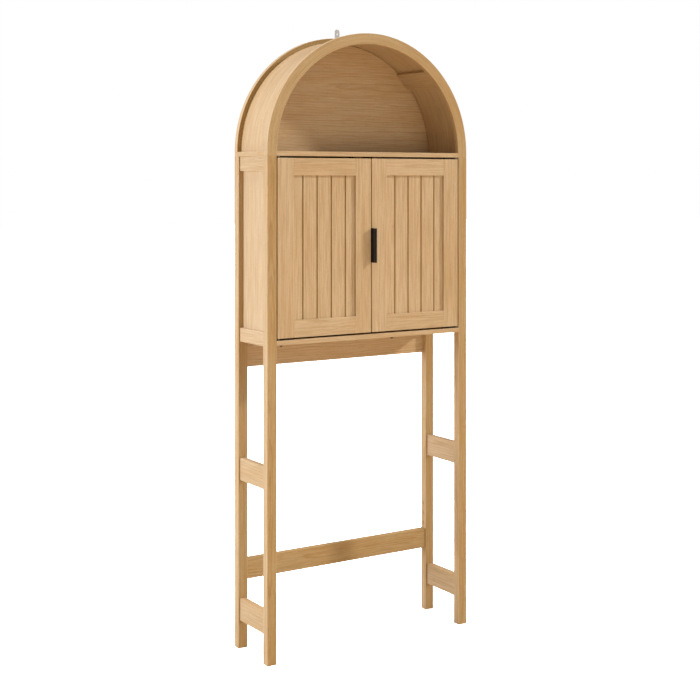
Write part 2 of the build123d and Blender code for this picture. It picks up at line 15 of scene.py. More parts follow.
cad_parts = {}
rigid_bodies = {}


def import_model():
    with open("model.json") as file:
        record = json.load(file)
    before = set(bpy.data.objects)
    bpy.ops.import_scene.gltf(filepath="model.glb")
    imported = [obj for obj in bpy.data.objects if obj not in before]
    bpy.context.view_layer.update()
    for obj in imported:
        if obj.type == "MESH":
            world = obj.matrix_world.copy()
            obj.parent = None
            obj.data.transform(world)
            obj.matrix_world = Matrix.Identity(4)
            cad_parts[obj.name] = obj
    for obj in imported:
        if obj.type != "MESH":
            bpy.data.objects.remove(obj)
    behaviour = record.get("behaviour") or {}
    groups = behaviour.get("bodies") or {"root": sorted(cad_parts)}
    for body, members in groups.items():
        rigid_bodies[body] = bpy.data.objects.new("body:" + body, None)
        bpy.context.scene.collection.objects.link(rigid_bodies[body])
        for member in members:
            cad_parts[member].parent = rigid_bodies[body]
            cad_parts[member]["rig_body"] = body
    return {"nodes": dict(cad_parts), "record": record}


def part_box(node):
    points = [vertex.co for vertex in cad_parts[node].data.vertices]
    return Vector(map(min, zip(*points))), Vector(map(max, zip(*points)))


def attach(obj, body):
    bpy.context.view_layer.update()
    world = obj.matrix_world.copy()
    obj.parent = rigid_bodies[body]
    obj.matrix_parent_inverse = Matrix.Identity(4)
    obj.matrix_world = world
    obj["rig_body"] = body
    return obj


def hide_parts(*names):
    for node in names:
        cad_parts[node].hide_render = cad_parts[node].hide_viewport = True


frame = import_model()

LOG = logging.getLogger("rack")
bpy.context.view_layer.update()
SLOT_OF = {part["node"]: part["material_slot"] for part in frame["record"]["subparts"]}
Pair = tuple[float, float]
Shape = bmesh.types.BMesh
Tree = bpy.types.NodeTree
Socket = bpy.types.NodeSocket
Item = bpy.types.Object
Material = bpy.types.Material

# a face narrower than this many metres is an eased edge
EDGE_STRIP = 0.0012
# a face looks to the front when the Y of its normal is below this
FRONT_FACING = -0.9
# how far along a log a board may come from, in metres, and how much its heart's place varies
HEART_ALONG: Pair = (2.0, 9.0)
HEART_SPREAD: Pair = (0.8, 1.2)
# boards differ by up to this much in tone, and one unit of tone changes value and saturation so much
TONE_SPREAD = 0.3
VALUE_PER_TONE = 0.12
SATURATION_PER_TONE = -0.14
# edges that turn by more than this many degrees are shaded sharp
SHARP_TURN = 42.0
# width in metres of an arch ring's face
RING_WIDTH = 0.029


# ---------------- shared helpers
def mm(value: float) -> float:
    """Millimetres to metres."""
    return value / 1000.0


def linear(hex_colour: str) -> tuple[float, float, float, float]:
    """Turn an sRGB hex colour into a linear RGBA value."""
    channels = [int(hex_colour[i : i + 2], 16) / 255.0 for i in (1, 3, 5)]
    return (*(c / 12.92 if c <= 0.04045 else ((c + 0.055) / 1.055) ** 2.4 for c in channels), 1.0)


def add_node(
    tree: Tree, kind: str, settings: dict[str, Any] | None = None, inputs: dict[Any, Any] | None = None
) -> bpy.types.Node:
    """Add one shader node.

    Args:
        tree: The node tree that takes the node.
        kind: The node's type name.
        settings: Properties of the node by name.
        inputs: A value or an output socket for each input, by name or index.

    Returns:
        The new node.
    """
    node = tree.nodes.new(kind)
    for name, value in (settings or {}).items():
        setattr(node, name, value)
    for key, value in (inputs or {}).items():
        if isinstance(value, Socket):
            tree.links.new(value, node.inputs[key])
        else:
            node.inputs[key].default_value = value
    return node


def calc(tree: Tree, operation: str, *values: Any) -> Socket:
    """Add a maths node and return its result."""
    return add_node(tree, "ShaderNodeMath", {"operation": operation}, dict(enumerate(values))).outputs[0]


def attribute(tree: Tree, name: str, output: str = "Fac") -> Socket:
    """Read an attribute that was written on the mesh."""
    return add_node(tree, "ShaderNodeAttribute", {"attribute_name": name}).outputs[output]


def blend(tree: Tree, amount: Any, first: Any, second: Any) -> Socket:
    """Mix two colours by an amount."""
    return add_node(tree, "ShaderNodeMix", {"data_type": "RGBA"}, {0: amount, 6: first, 7: second}).outputs[2]


def bumps(tree: Tree, height: Any, strength: float, depth_mm: float) -> Socket:
    """Turn heights into a bumpy normal."""
    inputs = {"Strength": strength, "Distance": mm(depth_mm), "Height": height}
    return add_node(tree, "ShaderNodeBump", inputs=inputs).outputs[0]


def ramp(
    tree: Tree, value: Any, source: Pair = (0.0, 1.0), target: Pair = (0.0, 1.0), smooth: bool = False
) -> Socket:
    """Stretch one range of values to another.

    Args:
        tree: The node tree that takes the node.
        value: The output socket to stretch.
        source: The range that goes in.
        target: The range that comes out.
        smooth: Ease in and out instead of going straight.

    Returns:
        The stretched value.
    """
    settings = {"interpolation_type": "SMOOTHSTEP" if smooth else "LINEAR"}
    inputs = {"Value": value, "From Min": source[0], "From Max": source[1], "To Min": target[0], "To Max": target[1]}
    return add_node(tree, "ShaderNodeMapRange", settings, inputs).outputs[0]


def noise(
    tree: Tree, place: Socket, detail: float, stretch: Sequence[float] | None = None,
    scale: float = 1.0, roughness: float = 0.5,
) -> Socket:
    """Add a noise texture.

    Args:
        tree: The node tree that takes the nodes.
        place: The position that the noise is read at.
        detail: Number of finer layers.
        stretch: Marks per metre along each axis, where they differ.
        scale: Marks per metre, where they don't.
        roughness: Strength of the finer layers.

    Returns:
        The noise's value.
    """
    if stretch is not None:
        place = add_node(tree, "ShaderNodeMapping", inputs={"Vector": place, "Scale": stretch}).outputs[0]
    inputs = {"Vector": place, "Scale": scale, "Detail": detail, "Roughness": roughness}
    return add_node(tree, "ShaderNodeTexNoise", inputs=inputs).outputs[0]


def empty_material(name: str) -> tuple[Material, Tree]:
    """Make a material with no nodes yet.

    Args:
        name: The finish's name.

    Returns:
        The material and its node tree.
    """
    material = bpy.data.materials.new(name)
    material.use_nodes = True
    material.node_tree.nodes.clear()
    return material, material.node_tree


def close_material(tree: Tree, shader: bpy.types.Node) -> None:
    """Link a shader to the material's output."""
    add_node(tree, "ShaderNodeOutputMaterial", inputs={"Surface": shader.outputs[0]})


def coat(material: Material, inputs: dict[str, Any]) -> Material:
    """Finish a material with its surface shader."""
    close_material(material.node_tree, add_node(material.node_tree, "ShaderNodeBsdfPrincipled", inputs=inputs))
    return material


# ---------------- how boards were sawn
class Run(Enum):
    """Which row axes lie along the fibres, across them and through the board."""

    UP_FACING_FRONT = (2, 0, 1)
    UP_FACING_SIDE = (2, 1, 0)
    WIDE_UPRIGHT = (0, 2, 1)
    WIDE_FLAT = (0, 1, 2)
    DEEP_UPRIGHT = (1, 2, 0)


class Cut(Enum):
    """Where the tree's heart lay: across and through the board, in millimetres, and the lean of the fibres."""

    RIFT = (95.0, 40.0, 0.006)
    QUARTER = (160.0, 8.0, 0.004)
    CROWN = (6.0, 22.0, 0.034)
    SOFT_CROWN = (22.0, 30.0, 0.016)


@dataclass(frozen=True)
class Grain:
    """The figure of one board.

    Attributes:
        run: Which way the fibres run.
        cut: How the board was sawn from the log.
        tone: Lighter and paler above zero, darker and warmer below.
        front_tone: Added to the tone of the faces that look to the front, as painted shade.
        shift: Moves the figure along and across the board, in metres.
    """

    run: Run
    cut: Cut = Cut.RIFT
    tone: float = 0.0
    front_tone: float = 0.0
    shift: Pair = (0.0, 0.0)

    def place(self, point: Vector, centre: Vector) -> Vector:
        """Turn a row position into along, across and through.

        Args:
            point: A position on the board.
            centre: The board's middle.

        Returns:
            The position in the board's own directions.
        """
        local = point - centre
        return Vector([local[axis] for axis in self.run.value])

    def mark(self, shape: Shape, name: str) -> None:
        """Write the grain directions, the tone and the eased edges on a board.

        Args:
            shape: The finished board.
            name: The board's name, which picks its own stretch of the log.
        """
        own = random.Random(name)
        across, through, lean = self.cut.value
        side = own.choice((-1.0, 1.0))
        heart = Vector(
            (
                own.uniform(*HEART_ALONG),
                mm(across) * side * own.uniform(*HEART_SPREAD),
                mm(through) * own.uniform(*HEART_SPREAD),
            )
        )
        lean = lean * own.choice((-1.0, 1.0))
        corners = [vertex.co for vertex in shape.verts]
        centre = sum(corners, Vector()) / len(corners)
        grain = shape.verts.layers.float_vector.new("grain")
        for vertex in shape.verts:
            here = self.place(vertex.co, centre) + Vector((*self.shift, 0.0))
            vertex[grain] = here + heart + Vector((0.0, 0.0, here.x * lean))
        tone = shape.faces.layers.float.new("tone")
        edge = shape.faces.layers.float.new("edge")
        own_tone = self.tone + own.uniform(-TONE_SPREAD, TONE_SPREAD)
        for face in shape.faces:
            # painted shade: faces that look to the front are darkened
            face[tone] = own_tone + (self.front_tone if face.normal.y < FRONT_FACING else 0.0)
            face[edge] = 1.0 if 2.0 * face.calc_area() < EDGE_STRIP * face.calc_perimeter() else 0.0


@dataclass(frozen=True)
class ArchGrain(Grain):
    """The figure of a board that is bent or cut round the arch.

    Attributes:
        radius: Where the length along the fibres is measured.
        height: Height of the arch's centre.
    """

    radius: float = 0.31
    height: float = 1.345

    def place(self, point: Vector, centre: Vector) -> Vector:
        """Turn a row position into along the arch, out from it and through the board.

        Args:
            point: A position on the board.
            centre: The board's middle, of which only the depth counts.

        Returns:
            The position in the arch's own directions.
        """
        up = point.z - self.height
        if up >= 0.0:
            angle = math.atan2(up, point.x)
            return Vector((angle * self.radius, math.hypot(point.x, up) - self.radius, point.y - centre.y))
        along = up if point.x > 0.0 else math.pi * self.radius - up
        return Vector((along, abs(point.x) - self.radius, point.y - centre.y))


# ---------------- finishes
class Finish(Protocol):
    """Anything that can build its material."""

    def build(self) -> Material:
        """Build the material."""


@dataclass(frozen=True)
class SatinOak:
    """Planed oak under a clear satin lacquer.

    Pale wood with long fine streaks, darker latewood lines and a soft sheen.

    Attributes:
        name: The material's name.
        pale: Colour of the wood between the rings.
        late: Colour of the latewood lines.
        warm: Colour that the wood drifts towards in patches.
        pore: Colour of the open pores.
        ring_mm: Distance between growth rings, wide enough to show.
        figure: Strength of the latewood lines.
        streak: Strength of the long streaks.
        wander_mm: How far the rings wander from true circles.
        peak: Where within a ring the latewood is darkest.
    """

    name: str
    pale: str = "#D0B893"
    late: str = "#AF8E62"
    warm: str = "#C8A678"
    pore: str = "#86603A"
    ring_mm: float = 5.5
    figure: float = 0.45
    streak: float = 0.5
    wander_mm: float = 26.0
    peak: float = 0.92

    def build(self) -> Material:
        """Build the material."""
        material, tree = empty_material(self.name)
        grain = attribute(tree, "grain", "Vector")
        # the tone holds each board's own tone plus the painted shade on front faces, in holes and grooves, and on the
        # back's chamfer
        tone = attribute(tree, "tone")
        edge = attribute(tree, "edge")
        late = self._rings(tree, grain)
        streaks = self._threads(tree, grain, length_mm=110.0, width_mm=4.2, low=0.38, high=0.68)
        fine = self._threads(tree, grain, length_mm=45.0, width_mm=1.5, low=0.46, high=0.72)
        pores = self._threads(tree, grain, length_mm=9.0, width_mm=0.45, low=0.56, high=0.68)
        clouds = self._threads(tree, grain, length_mm=260.0, width_mm=60.0, low=0.35, high=0.7)
        colour = linear(self.pale)
        layers = (
            (clouds, linear(self.warm), 0.55),
            (late, linear(self.late), self.figure),
            (streaks, linear(self.late), self.streak),
            (fine, linear(self.pore), 0.16),
            (pores, linear(self.pore), 0.32),
            # painted highlight: eased edges are painted lighter
            (edge, linear("#F0D3A4"), 0.22),
        )
        for mask, tint, strength in layers:
            colour = blend(tree, calc(tree, "MULTIPLY", mask, strength), colour, tint)
        inputs = {
            "Saturation": calc(tree, "MULTIPLY_ADD", tone, SATURATION_PER_TONE, 1.0),
            "Value": calc(tree, "MULTIPLY_ADD", tone, VALUE_PER_TONE, 1.0),
            "Color": colour,
        }
        shaded = add_node(tree, "ShaderNodeHueSaturation", inputs=inputs)
        relief = calc(tree, "MULTIPLY_ADD", fine, -0.4, calc(tree, "MULTIPLY_ADD", pores, -0.7, 0.7))
        surface = {
            "Base Color": shaded.outputs[0],
            "Roughness": ramp(tree, pores, target=(0.46, 0.62)),
            "IOR": 1.5,
            "Coat Weight": 0.18,
            "Coat Roughness": 0.32,
            "Normal": bumps(tree, relief, strength=0.35, depth_mm=0.25),
        }
        return coat(material, surface)

    def _rings(self, tree: Tree, grain: Socket) -> Socket:
        """Draw the latewood of the growth rings.

        Args:
            tree: The material's node tree.
            grain: Position along, across and through, measured from the tree's heart.

        Returns:
            A mask that is 1 on the latewood.
        """
        wander = noise(tree, grain, detail=4.0, stretch=(3.2, 24.0, 24.0), roughness=0.55)
        flat = add_node(tree, "ShaderNodeVectorMath", {"operation": "MULTIPLY"}, {0: grain, 1: (0.0, 1.0, 1.0)})
        radius = add_node(tree, "ShaderNodeVectorMath", {"operation": "LENGTH"}, {0: flat.outputs[0]})
        bent = calc(tree, "MULTIPLY_ADD", wander, mm(self.wander_mm), radius.outputs[1])
        count = calc(tree, "DIVIDE", bent, mm(self.ring_mm))
        within = calc(tree, "FRACT", count)
        lottery = add_node(
            tree, "ShaderNodeTexWhiteNoise", {"noise_dimensions": "1D"}, {"W": calc(tree, "FLOOR", count)}
        )
        rise = ramp(tree, within, (0.3, self.peak), smooth=True)
        fall = ramp(tree, within, (self.peak, 1.0), (1.0, 0.0), smooth=True)
        own = ramp(tree, lottery.outputs[0], target=(0.25, 1.0))
        return calc(tree, "MULTIPLY", calc(tree, "MULTIPLY", rise, fall), own)

    @staticmethod
    def _threads(
        tree: Tree, grain: Socket, length_mm: float, width_mm: float, low: float, high: float
    ) -> Socket:
        """Draw marks that are stretched along the fibres.

        Args:
            tree: The material's node tree.
            grain: Position along, across and through.
            length_mm: Length of a mark.
            width_mm: Width of a mark.
            low: Noise level that starts a mark.
            high: Noise level that fills it.

        Returns:
            A mask that is 1 in the middle of a mark.
        """
        stretch = (1.0 / mm(length_mm), 1.0 / mm(width_mm), 1.0 / mm(width_mm))
        return ramp(tree, noise(tree, grain, detail=3.0, stretch=stretch), (low, high), smooth=True)


@dataclass(frozen=True)
class Speckled:
    """A plain stock with a fine speckle, for plastics, rod wood and ferrite.

    Attributes:
        name: The material's name.
        base: Main colour.
        fleck: Colour of the speckle.
        roughness: Middle roughness.
        ior: Index of refraction.
        stretch: Size of a speckle along X, Y and Z, in millimetres.
        relief_mm: Height of the texture.
    """

    name: str
    base: str
    fleck: str
    roughness: float
    ior: float = 1.46
    stretch: tuple[float, float, float] = (0.6, 0.6, 0.6)
    relief_mm: float = 0.05

    def build(self) -> Material:
        """Build the material."""
        material, tree = empty_material(self.name)
        place = add_node(tree, "ShaderNodeTexCoord").outputs["Object"]
        specks = noise(tree, place, detail=2.0, stretch=tuple(1.0 / mm(size) for size in self.stretch))
        amount = ramp(tree, specks, (0.4, 0.7), (0.0, 0.6))
        surface = {
            "Base Color": blend(tree, amount, linear(self.base), linear(self.fleck)),
            "Roughness": ramp(tree, specks, target=(self.roughness - 0.06, self.roughness + 0.06)),
            "IOR": self.ior,
            "Normal": bumps(tree, specks, 0.3, self.relief_mm),
        }
        return coat(material, surface)


@dataclass(frozen=True)
class PlatedMetal:
    """Zinc-plated or cast metal with faint handling marks.

    Attributes:
        name: The material's name.
        bright: Colour of the clean metal.
        dull: Colour of its stains.
        roughness: Middle roughness.
        mark_mm: Size of the stains.
    """

    name: str
    bright: str
    dull: str
    roughness: float
    mark_mm: float = 3.0

    def build(self) -> Material:
        """Build the material."""
        material, tree = empty_material(self.name)
        place = add_node(tree, "ShaderNodeTexCoord").outputs["Object"]
        stains = noise(tree, place, detail=4.0, scale=1.0 / mm(self.mark_mm))
        lines = noise(tree, place, detail=2.0, stretch=(4200.0, 4200.0, 160.0))
        surface = {
            "Base Color": blend(tree, stains, linear(self.bright), linear(self.dull)),
            "Metallic": 1.0,
            "Roughness": ramp(tree, lines, target=(self.roughness - 0.1, self.roughness + 0.1)),
            "Normal": bumps(tree, lines, 0.2, 0.02),
        }
        return coat(material, surface)


@dataclass(frozen=True)
class PowderCoat:
    """Black powder coat on steel: a fine orange-peel texture with a satin sheen, and a painted highlight on the
    edges, broken up in smears.
    """

    name: str = "black_satin_powder_coat_on_steel"
    base: str = "#09090A"
    edge_highlight: str = "#1E1E20"

    def build(self) -> Material:
        """Build the material."""
        material, tree = empty_material(self.name)
        place = add_node(tree, "ShaderNodeTexCoord").outputs["Object"]
        peel = noise(tree, place, detail=3.0, scale=1.0 / mm(0.9))
        smears = noise(tree, place, detail=2.0, scale=1.0 / mm(14.0))
        # painted highlight on the flagged edges, broken up in smears
        edge_highlight_mask = calc(tree, "MULTIPLY", attribute(tree, "edge"), smears)
        surface = {
            "Base Color": blend(tree, edge_highlight_mask, linear(self.base), linear(self.edge_highlight)),
            "Roughness": ramp(tree, smears, target=(0.3, 0.46)),
            "IOR": 1.5,
            "Specular IOR Level": 0.3,
            "Normal": bumps(tree, peel, 0.25, 0.06),
        }
        return coat(material, surface)


# ---------------- shaping boards
def stand(name: str, data: bpy.types.ID) -> Item:
    """Put an object in the scene.

    Args:
        name: The object's name.
        data: Its mesh, lamp or camera.

    Returns:
        The new object.
    """
    item = bpy.data.objects.new(name, data)
    bpy.context.scene.collection.objects.link(item)
    return item


def to_mesh(name: str, shape: Shape) -> bpy.types.Mesh:
    """Write a shape to a new mesh.

    Args:
        name: The mesh's name.
        shape: The shape; it is freed.

    Returns:
        The new mesh.
    """
    mesh = bpy.data.meshes.new(name)
    shape.to_mesh(mesh)
    shape.free()
    return mesh


def round_off(shape: Shape, edges: list[bmesh.types.BMEdge], width: float, segments: int) -> None:
    """Round chosen edges.

    Args:
        shape: The shape to round.
        edges: Its edges to round.
        width: Width of the rounding, in metres.
        segments: Steps across the rounding.
    """
    bmesh.ops.bevel(
        shape, geom=edges, offset=width, offset_type="OFFSET", segments=segments, profile=0.5,
        affect="EDGES", material=-1, clamp_overlap=True,
    )


def ease_edges(shape: Shape, width: float, segments: int = 3, sharper_than: float = 50.0) -> None:
    """Round the sharp edges of a shape.

    Args:
        shape: The shape to ease.
        width: Width of the rounding, in metres.
        segments: Steps across the rounding.
        sharper_than: Only edges that turn by more than this many degrees are eased.
    """
    limit = math.radians(sharper_than)
    edges = [edge for edge in shape.edges if edge.is_manifold and edge.calc_face_angle(0.0) > limit]
    round_off(shape, edges, width, segments)


def blank(low: Vector, high: Vector) -> Shape:
    """Saw a straight blank between two corners.

    Args:
        low: Lowest corner.
        high: Highest corner.

    Returns:
        The blank, with sharp edges.
    """
    shape = bmesh.new()
    size = high - low
    place = Matrix.Translation((low + high) / 2.0) @ Matrix.Diagonal((*size, 1.0))
    bmesh.ops.create_cube(shape, size=1.0, matrix=place)
    return shape


def whole(shape: Shape) -> list[Any]:
    """Every vertex, edge and face of a shape."""
    return shape.verts[:] + shape.edges[:] + shape.faces[:]


def thicken(shape: Shape, depth: Vector) -> None:
    """Give a flat shape thickness.

    Args:
        shape: The shape, with only its flat faces.
        depth: Direction and amount of the thickness.
    """
    grown = bmesh.ops.extrude_face_region(shape, geom=shape.faces[:])["geom"]
    moved = [item for item in grown if isinstance(item, bmesh.types.BMVert)]
    bmesh.ops.translate(shape, verts=moved, vec=depth)
    bmesh.ops.recalc_face_normals(shape, faces=shape.faces[:])


def from_outline(points: Sequence[Pair], low: float, high: float) -> Shape:
    """Cut an outline that is seen from above.

    Args:
        points: The outline's corners in order.
        low: Height of its underside.
        high: Height of its top.

    Returns:
        The closed shape.
    """
    shape = bmesh.new()
    shape.faces.new([shape.verts.new((x, y, low)) for x, y in points])
    thicken(shape, Vector((0.0, 0.0, high - low)))
    return shape


def drill(
    shape: Shape, mouth: Vector, inward: Vector, radius: float, depth: float, margin: float = 1.25, sides: int = 20
) -> None:
    """Sink a blind hole in an upright side face; the faces that join its rim close its mouth.

    Args:
        shape: The board.
        mouth: Centre of the hole on the face.
        inward: Unit direction into the wood, along X.
        radius: Radius of the hole.
        depth: Depth of the hole.
        margin: Half the side of the square that the hole is set in, in radii.
        sides: Facets round the hole.
    """
    reach = radius * margin
    for axis in (Vector((0.0, 1.0, 0.0)), Vector((0.0, 0.0, 1.0))):
        for way in (-reach, reach):
            bmesh.ops.bisect_plane(shape, geom=whole(shape), plane_co=mouth + axis * way, plane_no=axis, dist=1e-7)
    around = min(shape.faces, key=lambda face: (face.calc_center_median() - mouth).length)
    rim = list(around.edges)
    bmesh.ops.delete(shape, geom=[around], context="FACES_ONLY")
    turn = Vector((0.0, 0.0, 1.0)).rotation_difference(inward).to_matrix().to_4x4()
    place = Matrix.Translation(mouth) @ turn @ Matrix.Rotation(math.radians(45.0), 4, "Z")
    ring = bmesh.ops.create_circle(shape, segments=sides, radius=radius, matrix=place)["verts"]
    loop = list(dict.fromkeys(edge for vertex in ring for edge in vertex.link_edges))
    bmesh.ops.bridge_loops(shape, edges=rim + loop)
    grown = bmesh.ops.extrude_edge_only(shape, edges=loop)["geom"]
    floor = [item for item in grown if isinstance(item, bmesh.types.BMVert)]
    bmesh.ops.translate(shape, verts=floor, vec=inward * depth)
    bmesh.ops.contextual_create(shape, geom=floor)
    bmesh.ops.recalc_face_normals(shape, faces=shape.faces[:])


def carve(shape: Shape, tool: Shape) -> Shape:
    """Cut one shape out of another; both are freed.

    Args:
        shape: The piece to cut.
        tool: What is taken away.

    Returns:
        What is left.
    """
    items = [stand("carving", to_mesh("carving", part)) for part in (shape, tool)]
    cut = items[0].modifiers.new("cut", "BOOLEAN")
    cut.operation = "DIFFERENCE"
    cut.solver = "EXACT"
    cut.object = items[1]
    left = bmesh.new()
    left.from_object(items[0], bpy.context.evaluated_depsgraph_get())
    for item in items:
        bpy.data.meshes.remove(item.data)
    return left


def arch_strip(low: Vector, high: Vector, height: float, steps: int = 128) -> Shape:
    """Sweep an upright section round the half circle of the arch.

    Args:
        low: Inner radius as X, and front as Y, of the section.
        high: Outer radius as X, and back as Y, of the section.
        height: Height of the arch's centre.
        steps: Facets round the arch.

    Returns:
        The half ring, closed at both feet.
    """
    shape = bmesh.new()
    section = ((low.x, low.y), (high.x, low.y), (high.x, high.y), (low.x, high.y))
    corners = [shape.verts.new((x, y, height)) for x, y in section]
    bmesh.ops.contextual_create(shape, geom=corners)
    centre = (0.0, 0.0, height)
    bmesh.ops.spin(
        shape, geom=whole(shape), cent=centre, axis=(0.0, -1.0, 0.0), angle=math.pi, steps=steps, use_merge=False
    )
    bmesh.ops.recalc_face_normals(shape, faces=shape.faces[:])
    return shape


def paint_recess_shade(piece: Item, low: Vector, high: Vector, tone: float) -> None:
    """Darken the faces that lie inside a box, the floor and walls of a groove or hole, as painted shade; in the
    door's grooves it also stands for lacquer that gathers there.

    Args:
        piece: A wooden piece.
        low: Lowest corner of the box.
        high: Highest corner of the box.
        tone: Added to the tone of those faces, as painted shade.
    """
    tones = piece.data.attributes["tone"].data
    for face in piece.data.polygons:
        if all(a <= c <= b for a, c, b in zip(low, face.center, high)):
            tones[face.index].value += tone


# ---------------- sub-assemblies
@dataclass
class Assembly:
    """A group of pieces that share finishes.

    Attributes:
        finishes: Built materials by the record's slot name.
        ease: Width of the rounding on board edges.
        thin_ease: Width of the rounding on thin panels.
    """

    finishes: dict[str, Material]
    ease: float = mm(1.0)
    thin_ease: float = mm(0.3)

    def put(self, shape: Shape, node: str, grain: Grain | None = None) -> Item:
        """Turn a shape into a finished piece that stands for a node.

        Args:
            shape: The modelled shape; it is freed.
            node: The node that the piece replaces.
            grain: The figure, on a wooden piece.

        Returns:
            The new object.
        """
        name = f"{node}_finished"
        shape.normal_update()
        if grain is not None:
            grain.mark(shape, name)
        mesh = to_mesh(name, shape)
        mesh.shade_smooth()
        mesh.set_sharp_from_angle(angle=math.radians(SHARP_TURN))
        piece = stand(name, mesh)
        weighted = piece.modifiers.new("flat_faces", "WEIGHTED_NORMAL")
        weighted.keep_sharp = True
        mesh.materials.append(self.finishes[SLOT_OF[node]])
        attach(piece, frame["nodes"][node]["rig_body"])
        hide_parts(node)
        return piece

    def board(self, node: str, grain: Grain, ease: float | None = None) -> Item:
        """Make a straight board that fills a node's box.

        Args:
            node: The node that gives the size and place.
            grain: The board's figure.
            ease: Width of the rounding, if not the usual one.

        Returns:
            The new object.
        """
        shape = blank(*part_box(node))
        ease_edges(shape, self.ease if ease is None else ease)
        return self.put(shape, node, grain)

    def dress(self, nodes: Iterable[str]) -> None:
        """Give nodes that keep their own shape the finish of their slot.

        Args:
            nodes: Names of the nodes.
        """
        for node in nodes:
            item = frame["nodes"][node]
            for slot in item.material_slots:
                slot.material = self.finishes[SLOT_OF[node]]
            LOG.info("%s: keeps its shape, finish %s", node, SLOT_OF[node])


@dataclass
class LegFrame(Assembly):
    """A side frame: two posts, four rails and the thin panel between them.

    Attributes:
        side: left or right.
        hole_radius: Radius of the stretcher's adjusting holes.
        hole_depth: Their depth.
        hole_pitch: Distance between them.
        lowest_hole: Height of the lowest one.
        hole_count: How many there are.
        hole_inset: Distance of their axis from the post's back.
        hole_painted_shade: How much darker their walls are painted, as painted shade inside the holes.
        hole_skin: Wood this near the post's outside keeps its tone.
    """

    side: str = "left"
    hole_radius: float = mm(3.0)
    hole_depth: float = mm(12.0)
    hole_pitch: float = mm(29.0)
    lowest_hole: float = mm(197.5)
    hole_count: int = 5
    hole_inset: float = mm(11.5)
    hole_painted_shade: float = -7.5
    hole_skin: float = mm(1.5)

    def build(self) -> None:
        """Make the posts, rails and panel."""
        # painted shade: the front post's front face is darkened, the left one more
        crown, front = (Cut.CROWN, -1.6) if self.side == "left" else (Cut.SOFT_CROWN, -1.1)
        self.board(f"front_{self.side}_post", Grain(Run.UP_FACING_FRONT, crown, front_tone=front))
        self.rear_post()
        for rail in ("top_rail", "cabinet_rail", "mid_rail", "low_rail"):
            self.board(f"{self.side}_{rail}", Grain(Run.DEEP_UPRIGHT, Cut.SOFT_CROWN))
        self.board(f"{self.side}_side_panel", Grain(Run.UP_FACING_SIDE, Cut.QUARTER), ease=mm(0.4))

    def rear_post(self) -> Item:
        """Make the rear post with its row of adjusting holes."""
        node = f"rear_{self.side}_post"
        low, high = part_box(node)
        shape = blank(low, high)
        ease_edges(shape, self.ease)
        inward = Vector((-1.0 if self.side == "left" else 1.0, 0.0, 0.0))
        face = high.x if self.side == "left" else low.x
        for step in range(self.hole_count):
            mouth = Vector((face, high.y - self.hole_inset, self.lowest_hole + step * self.hole_pitch))
            drill(shape, mouth, inward, self.hole_radius, self.hole_depth)
        # painted shade on the rear post's front face
        piece = self.put(shape, node, Grain(Run.UP_FACING_FRONT, Cut.RIFT, front_tone=-1.2))
        inside = Vector((self.hole_skin, self.hole_skin, 0.0))
        # painted shade: the walls and floors of the holes are darkened
        paint_recess_shade(piece, low + inside, high - inside, self.hole_painted_shade)
        return piece


@dataclass
class Cabinet(Assembly):
    """Deck, floor, back, shelf, apron and stretcher.

    Attributes:
        notch: Slack in the deck's notches.
        lock_slack: Slack round a cam lock in its hole.
        lock_sides: Facets round that hole.
    """

    notch: float = mm(0.1)
    lock_slack: float = mm(0.05)
    lock_sides: int = 48

    def build(self) -> None:
        """Make the boards between the two leg frames."""
        ring_low, ring_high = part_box("front_arch_ring")
        foot = Vector((RING_WIDTH + self.notch, ring_high.y - ring_low.y + self.notch, 0.0))
        self.notched("deck", foot)
        post_low, post_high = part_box("front_right_post")
        floor_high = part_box("bottom_board")[1]
        self.notched("bottom_board", Vector((floor_high.x - post_low.x, post_high.y - post_low.y, 0.0)))
        self.board("cabinet_back", Grain(Run.WIDE_UPRIGHT, Cut.CROWN), ease=self.thin_ease)
        self.board("inner_shelf", Grain(Run.WIDE_FLAT, Cut.QUARTER))
        self.bored("rear_apron", "apron_cam_locks", 1.0, Grain(Run.WIDE_UPRIGHT, Cut.SOFT_CROWN, tone=-0.3))
        grain = Grain(Run.WIDE_UPRIGHT, Cut.CROWN, tone=-1.1, shift=(0.1, 0.0))
        self.bored("low_stretcher", "stretcher_cam_locks", -1.0, grain)

    def bored(self, node: str, locks: str, inward: float, grain: Grain) -> Item:
        """Make a cross rail with a hole for the cam lock at each end.

        Args:
            node: The rail's node.
            locks: The node of its two cam locks.
            inward: 1 if the holes open to the front, -1 if they open to the back.
            grain: The rail's figure.

        Returns:
            The new object.
        """
        low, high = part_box(node)
        first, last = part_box(locks)
        radius = (last.z - first.z) / 2.0
        wide, deep = radius + self.lock_slack, last.y - first.y + self.lock_slack
        shape = blank(low, high)
        ease_edges(shape, self.ease)
        for x in (first.x + radius, last.x - radius):
            mouth = Vector((x, low.y if inward > 0.0 else high.y, first.z + radius))
            place = Matrix.Translation(mouth) @ Matrix.Rotation(math.radians(90.0), 4, "X")
            hole = bmesh.new()
            bmesh.ops.create_cone(
                hole, cap_ends=True, segments=self.lock_sides,
                radius1=wide, radius2=wide, depth=2.0 * deep, matrix=place,
            )
            shape = carve(shape, hole)
        return self.put(shape, node, grain)

    def notched(self, node: str, notch: Vector) -> Item:
        """Make a board whose four corners are cut back.

        Args:
            node: The node that gives the size and place.
            notch: Size of a notch along X and Y.

        Returns:
            The new object.
        """
        low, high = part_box(node)
        inner_low, inner_high = low + notch, high - notch
        points = (
            (inner_low.x, low.y), (inner_high.x, low.y), (inner_high.x, inner_low.y), (high.x, inner_low.y),
            (high.x, inner_high.y), (inner_high.x, inner_high.y), (inner_high.x, high.y), (inner_low.x, high.y),
            (inner_low.x, inner_high.y), (low.x, inner_high.y), (low.x, inner_low.y), (inner_low.x, inner_low.y),
        )
        shape = from_outline(points, low.z, high.z)
        ease_edges(shape, self.ease)
        return self.put(shape, node, Grain(Run.WIDE_FLAT, Cut.QUARTER))


